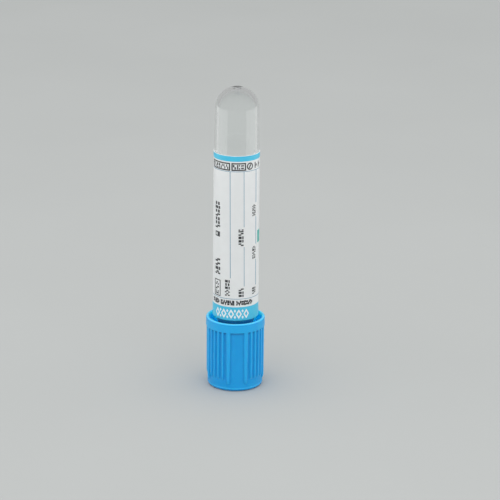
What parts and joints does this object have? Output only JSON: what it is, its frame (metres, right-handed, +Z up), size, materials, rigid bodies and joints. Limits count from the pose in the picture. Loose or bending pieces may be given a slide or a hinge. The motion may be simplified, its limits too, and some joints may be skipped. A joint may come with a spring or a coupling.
{
  "type": "blood collection tube",
  "caption": "Small clear round-ended sample tube with a wrapped label, upside down on a ribbed light-blue pull-off cap with a rubber stopper.",
  "frame": {"origin": "centre of the cap's end face, on the surface that the tube stands on, upside down", "axes": "+Z up the tube's axis, from the cap's end face to the tube's round end; -Y is the side of the label that is read"},
  "size_m": [0.0162, 0.0162, 0.0845],
  "materials": {
    "clear_tube": "clear moulded polyester, polished",
    "label_film": "white satin label with light-blue bands and fine print",
    "blue_cap": "satin moulded polyethylene",
    "blue_rubber": "matt moulded rubber",
    "additive": "clear watery liquid"
  },
  "bodies": {
    "closure": {"cap": "blue_cap", "stopper": "blue_rubber", "citrate_additive": "additive"},
    "tube_body": {"tube": "clear_tube", "label": "label_film"}
  },
  "joints": [
    {"name": "pull_off", "type": "slide", "parent": "closure", "child": "tube_body", "axis": [0, 0, 1], "range_m": [0, 0.035]}
  ]
}
